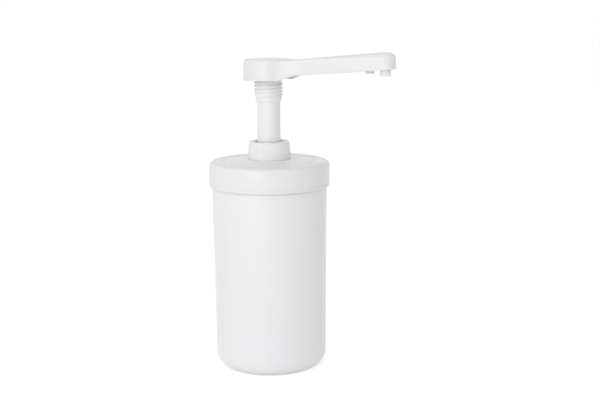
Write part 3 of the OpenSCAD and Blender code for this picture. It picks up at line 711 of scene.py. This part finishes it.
def buildHead(values):
    foot, tipTop, drum = footOf("head_shell"), topOf("head_shell"), radiusOf("head_shell")
    drumTop = foot + values["drumHigh"]
    half = headOutline(values, drum)
    count = 2 * (len(half) - 1)
    ring = [Vector(p[:2]) for p in half] + [Vector((x, -y)) for x, y, _ in half[-2:0:-1]]
    spine = [p[2] for p in half] + [p[2] for p in half[-2:0:-1]]
    normals = []
    for i in range(count):
        along = ring[(i + 1) % count] - ring[i - 1]
        normals.append(Vector((along.y, -along.x)).normalized())
    wall, crown, reach = values["wall"], values["crown"], values["reach"]
    flat = reach - values["tip"] + values["tipEdge"]

    def topAt(x):
        # the drum's flat top runs into the spout's slope, which ends level over the tip
        slope = tipTop - (flat - x) * values["topRise"]
        slope = min(slope, tipTop) if x > flat - 3 else slope
        start = values["topFrom"]
        return drumTop + (slope - drumTop) * smoothStep(x, start, start + values["topRun"])

    def footAt(x):
        share = min(1, max(0, (x - values["footFrom"]) / values["footRun"]))
        line = tipTop - values["tipHigh"] - (reach - x) * values["footRise"]
        return foot + (line - foot) * sin(pi / 2 * share)

    def edgeAt(x):
        share = smoothStep(x, values["edgeFrom"], reach + 5)
        return values["edge"] + (values["tipEdge"] - values["edge"]) * share

    # each level of the tube: what it belongs to, how far in it is, and its share of the height
    fractions = (0.92, 0.78, 0.62, 0.46, 0.3, 0.15, 0.0)
    inside, outside = [], []
    for k in range(9):
        turn = pi / 2 * k / 8
        outside.append(("top", 0, (1 - cos(turn), 1 - sin(turn))))
        inside.append(("top", wall, (1 - cos(turn), 1 - sin(turn))))
    levels = [("spine", wall, f) for f in reversed(fractions)]
    levels += [level for level in reversed(inside)]
    levels += [("side", wall, 0.75), ("side", wall, 0.5), ("side", wall, 0.25)]
    levels += [("foot", wall, 0.35), ("foot", wall - 0.1, 0.12), ("foot", wall - 0.35, 0.0),
               ("foot", 0.35, 0.0), ("foot", 0.1, 0.12), ("foot", 0.0, 0.35)]
    levels += [("side", 0.0, 0.25), ("side", 0.0, 0.5), ("side", 0.0, 0.75)]
    levels += outside
    levels += [("spine", 0.0, f) for f in fractions]

    pickNothing()
    bpy.ops.mesh.primitive_circle_add(vertices=count, radius=10 * mm, fill_type="NOTHING")
    head = bpy.context.active_object
    head.name = head.data.name = "headShell"
    editPiece(head)
    bpy.ops.mesh.select_all(action="SELECT")
    for _ in levels[1:]:
        bpy.ops.mesh.extrude_region_move(TRANSFORM_OT_translate={"value": (0, 0, mm)})

    def shape(co):
        index = round(atan2(co.y, co.x) / (2 * pi) * count) % count
        kind, inward, value = levels[round(co.z)]
        spot, normal = ring[index], normals[index]
        low, high, edge = footAt(spot.x), topAt(spot.x), edgeAt(spot.x)
        bend = edge - inward * 0.6
        draft = values["draft"] * (1 - values["draftEase"] * smoothStep(spot.x, *values["draftFade"]))
        if kind == "foot":
            at = spot - normal * inward
            return (at.x, at.y, low + value)
        if kind == "side":
            at = spot - normal * (inward + draft * value)
            return (at.x, at.y, low + (high - edge - low) * value)
        if kind == "top":
            at = spot - normal * (inward + draft + bend * value[0])
            return (at.x, at.y, high - inward - bend * value[1])
        rim = spot - normal * (inward + draft + bend)
        middle = Vector((spine[index], 0))
        at = middle + (rim - middle) * value
        rise = topAt(at.x) if spine[index] < reach else high
        swell = smoothStep(at.x, *values["crownGrow"]) - smoothStep(at.x, values["crownFade"], flat - 3)
        return (at.x, at.y, rise - inward + crown * (1 - value * value) * swell)

    moveVerts(head, shape)
    bpy.ops.object.mode_set(mode="OBJECT")
    closeUp(head)

    # the ring that holds the sleeve, open where the duct leaves it, and four ribs
    under = drumTop - wall
    ringIn, ringOut, ringLow = values["ringIn"], values["ringOut"], under - values["ringDeep"]
    ringTurn = values["ringTurn"]
    ringPiece = turnPiece("headRing", [
        (ringIn, ringLow, 0.2), (ringOut, ringLow, 0.3), (ringOut, under + 0.6, 0),
        (ringIn, under + 0.6, 0)], steps=96, start=(360 - ringTurn) / 2, angle=ringTurn)
    ribs = []
    for turn in (45, 135, 225, 315):
        pickNothing()
        bpy.ops.mesh.primitive_cube_add(size=mm)
        rib = bpy.context.active_object
        rib.name = rib.data.name = "headRib"
        editPiece(rib)

        def placeRib(co):
            far = drum - wall - (1.0 if co.z > 0 else 0.6)
            out = values["ribIn"] if co.x < 0 else far
            high = under + (0.4 if co.z > 0 else -values["ribDeep"])
            spot = Vector((out, values["ribThick"] * co.y, high))
            return Matrix.Rotation(radians(turn), 3, "Z") @ spot

        moveVerts(rib, placeRib)
        bpy.ops.mesh.select_all(action="SELECT")
        bpy.ops.mesh.bevel(offset=0.2 * mm, segments=2, affect="EDGES")
        bpy.ops.object.mode_set(mode="OBJECT")
        ribs.append(rib)
    joinPieces(head, ringPiece, *ribs)
    # the head takes the darker copy of the pump plastic, painted shade
    finishPiece(head, "plunger", materials["headPlasticPaintedShade"], sharp=34, replaced=("head_shell",))


# the return spring: round wire drawn up a helix, with closed ends
springForm = {"wire": 1.6, "radius": 12.04, "coils": 9.5, "endTurn": 0.9, "steps": 40, "draftPitch": 10.0,
              "keep": 21.8 / 62}


def buildSpring(values):
    low, high = footOf("spring"), topOf("spring")
    wire, r, coils = values["wire"], values["radius"], values["coils"]
    pickNothing()
    bpy.ops.mesh.primitive_circle_add(vertices=12, radius=wire / 2 * mm, rotation=(pi / 2, 0, 0))
    spring = bpy.context.active_object
    spring.name = spring.data.name = "returnSpring"
    bpy.ops.object.transform_apply(rotation=True)
    editPiece(spring)
    moveVerts(spring, lambda co: (co.x + r, 0, co.z + low + wire / 2))
    bpy.ops.object.mode_set(mode="OBJECT")
    steps = round(values["steps"] * coils)
    rise = values["draftPitch"]
    applyModifier(spring, "SCREW", axis="Z", angle=2 * pi * coils, screw_offset=rise * coils * mm,
                  steps=steps, render_steps=steps, use_merge_vertices=False)
    free = high - low - wire
    ends = values["endTurn"]

    def lift(t):
        return t * t / (2 * ends) if t < ends else t - ends / 2

    def climb(turns):
        # slow at both ends, where the coils close up
        whole = coils - ends
        gained = lift(turns) if turns < coils / 2 else whole - lift(coils - turns)
        return free * gained / whole

    def settle(co):
        turn = degrees(atan2(co.y, co.x)) % 360
        lap = round(((co.z - low - wire / 2) / rise * 360 - turn) / 360)
        turns = (turn + 360 * lap) / 360
        off = co.z - low - wire / 2 - rise * turns
        return (co.x, co.y, low + wire / 2 + climb(min(coils, max(0, turns))) + off)

    editPiece(spring)
    moveVerts(spring, settle)
    bpy.ops.object.mode_set(mode="OBJECT")
    closeUp(spring)
    finishPiece(spring, "pump", materials["brightSteel"], sharp=60, replaced=("spring",))
    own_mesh(spring)


print("building the jar")
buildJar(jarForm)
print("building the lid")
buildLid(lidForm)
print("building the collar")
buildCollar(collarForm)
print("building the head")
buildHead(headForm)
print("building the spring")
buildSpring(springForm)
print("placing camera, floor and lamps")
bpy.context.scene.view_settings.view_transform = "Standard"
placeCamera(viewer)
buildStudio(studio)
